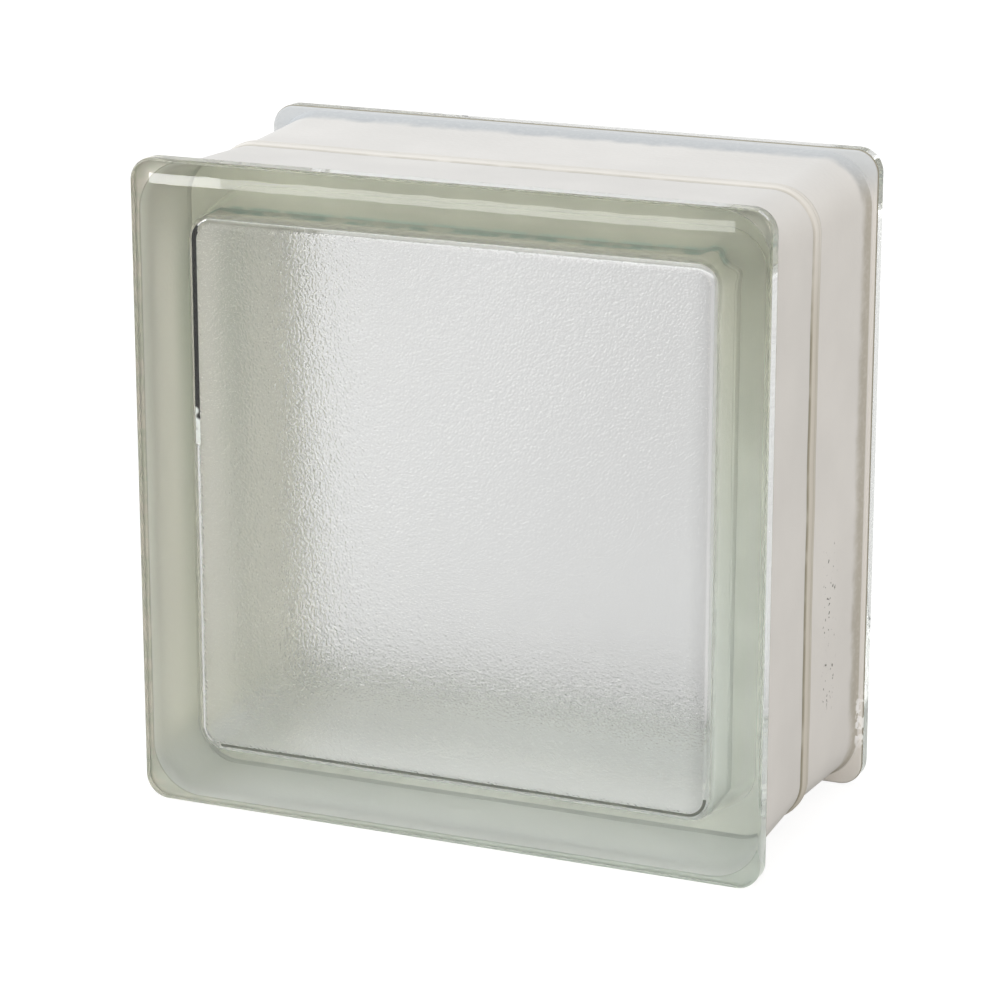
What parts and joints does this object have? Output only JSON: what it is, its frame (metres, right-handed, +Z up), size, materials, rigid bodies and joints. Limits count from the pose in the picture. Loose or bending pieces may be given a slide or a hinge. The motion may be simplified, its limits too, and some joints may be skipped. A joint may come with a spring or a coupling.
{
  "type": "glass block",
  "caption": "Square hollow glass block for walls, with clear flanged faces, satin inner panes and a shallow mortar channel with a fused seam round its edges.",
  "frame": {"origin": "centre of the footprint at floor level, under the block standing on its bottom edge", "axes": "+Z up, -Y out of the front face, +X to the right seen from the front"},
  "size_m": [0.19, 0.095, 0.19],
  "materials": {
    "glass": "clear, satin on the inner panes, white coated in the channel"
  },
  "bodies": {
    "root": {"glass_block": "glass"}
  },
  "joints": []
}
